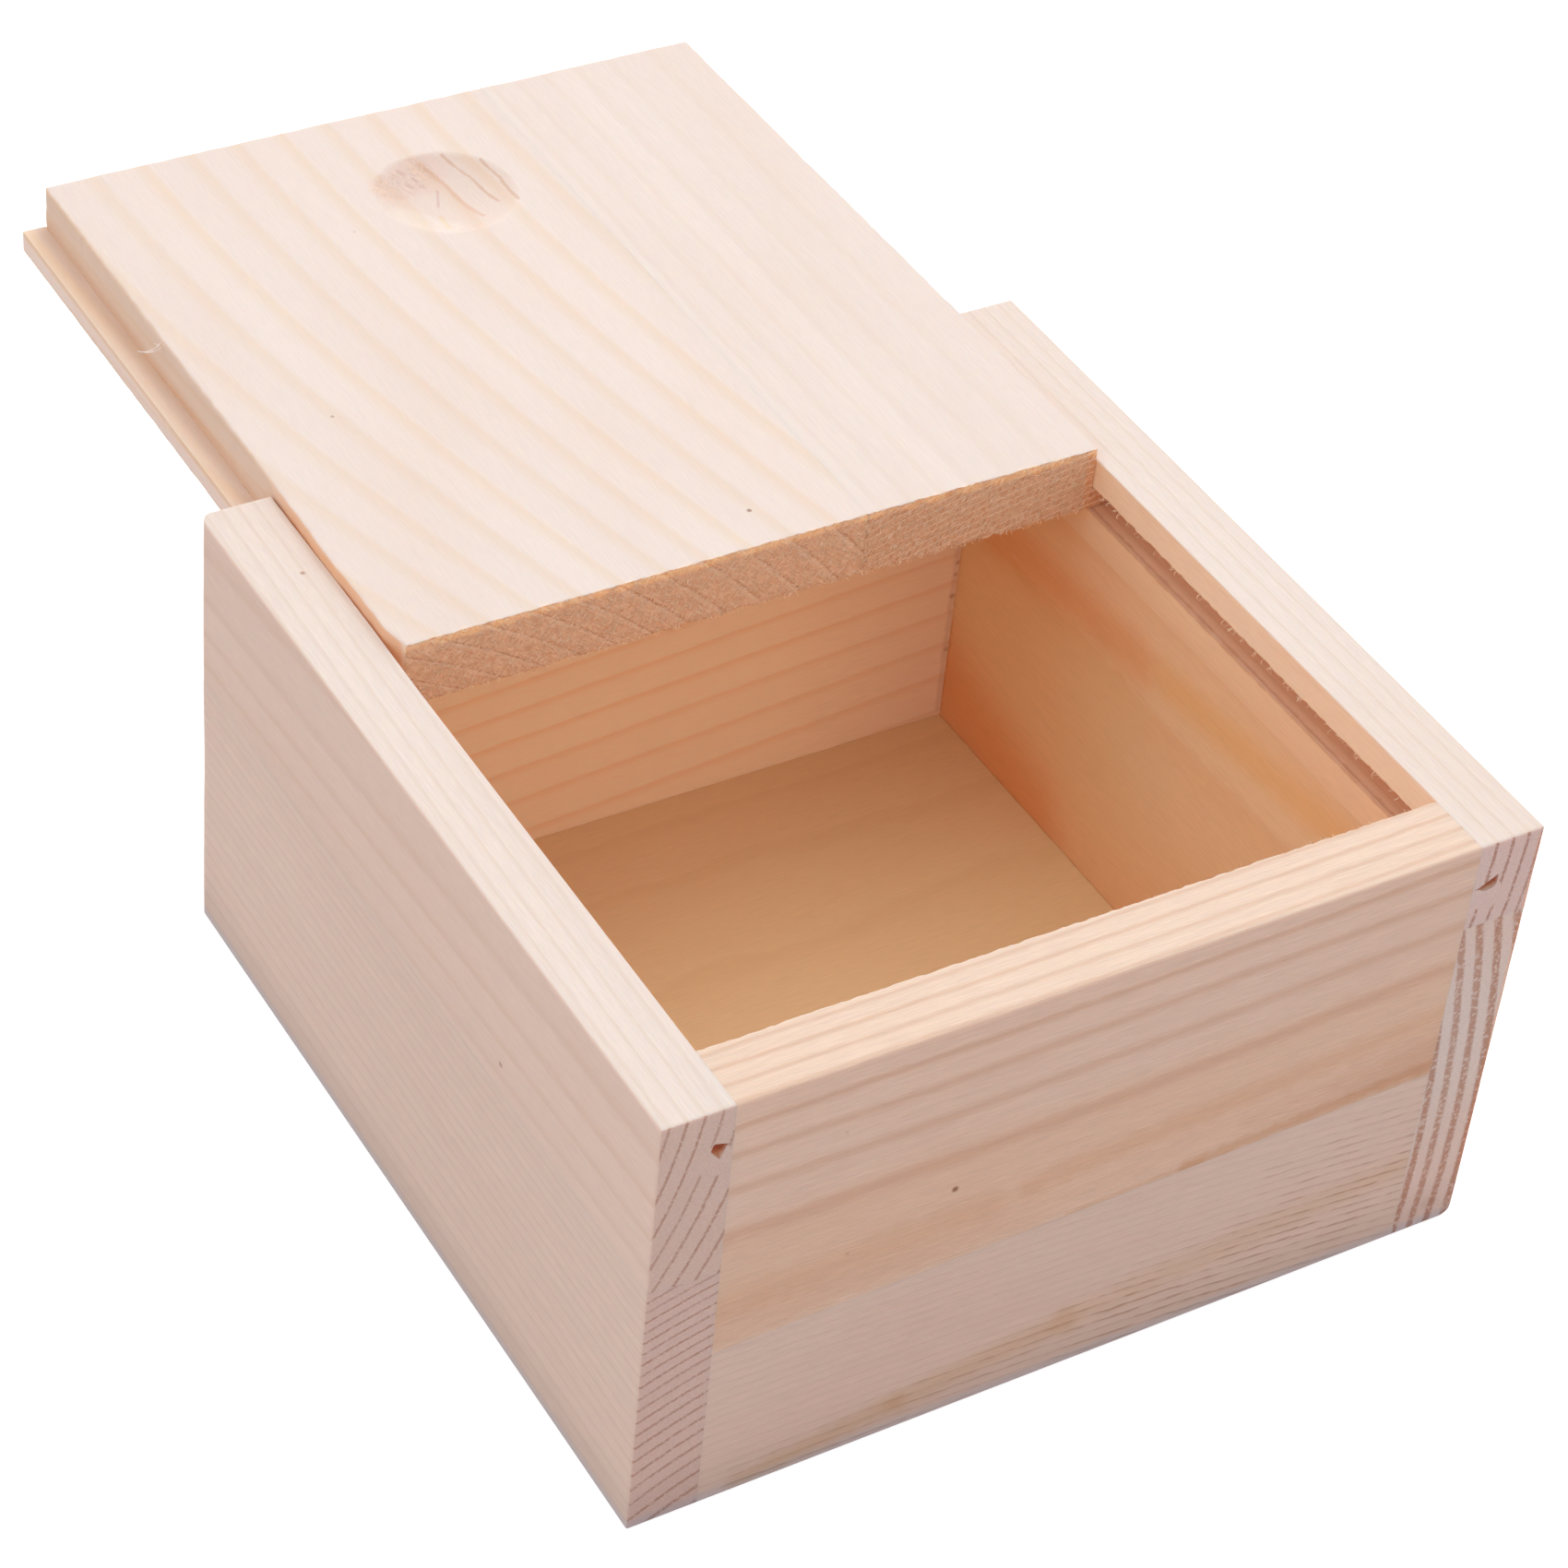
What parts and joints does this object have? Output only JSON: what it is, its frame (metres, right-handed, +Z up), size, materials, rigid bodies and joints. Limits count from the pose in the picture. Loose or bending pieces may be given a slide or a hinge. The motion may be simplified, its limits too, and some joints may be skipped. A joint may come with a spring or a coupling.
{
  "type": "sliding lid wooden box",
  "caption": "Small pine keepsake box whose flat lid has tongues that slide in grooves along the side walls and a shallow round finger recess in its top.",
  "frame": {"origin": "middle of the underside of the box, on the surface that it stands on", "axes": "+X to the right-hand side, +Y to the back, the way the lid slides open, +Z up"},
  "size_m": [0.101, 0.1625, 0.0564],
  "materials": {
    "side_pine": "planed, unfinished",
    "front_pine": "planed, unfinished",
    "back_pine": "planed, unfinished",
    "floor_wood": "sanded, unfinished",
    "peg_wood": "raw end grain",
    "lid_pine": "planed, unfinished"
  },
  "bodies": {
    "box": {"left_side_upper_strip": "side_pine", "left_side_lower_strip": "side_pine", "right_side_upper_strip": "side_pine", "right_side_lower_strip": "side_pine", "front_upper_strip": "front_pine", "front_lower_strip": "front_pine", "back_board": "back_pine", "floor_panel": "floor_wood", "left_groove_peg": "peg_wood", "right_groove_peg": "peg_wood"},
    "lid": {"lid_wide_strip": "lid_pine", "lid_narrow_strip": "lid_pine"}
  },
  "joints": [
    {"name": "lid_slide", "type": "slide", "parent": "box", "child": "lid", "axis": [0, 1, 0], "range_m": [-0.0626, 0.022]}
  ]
}
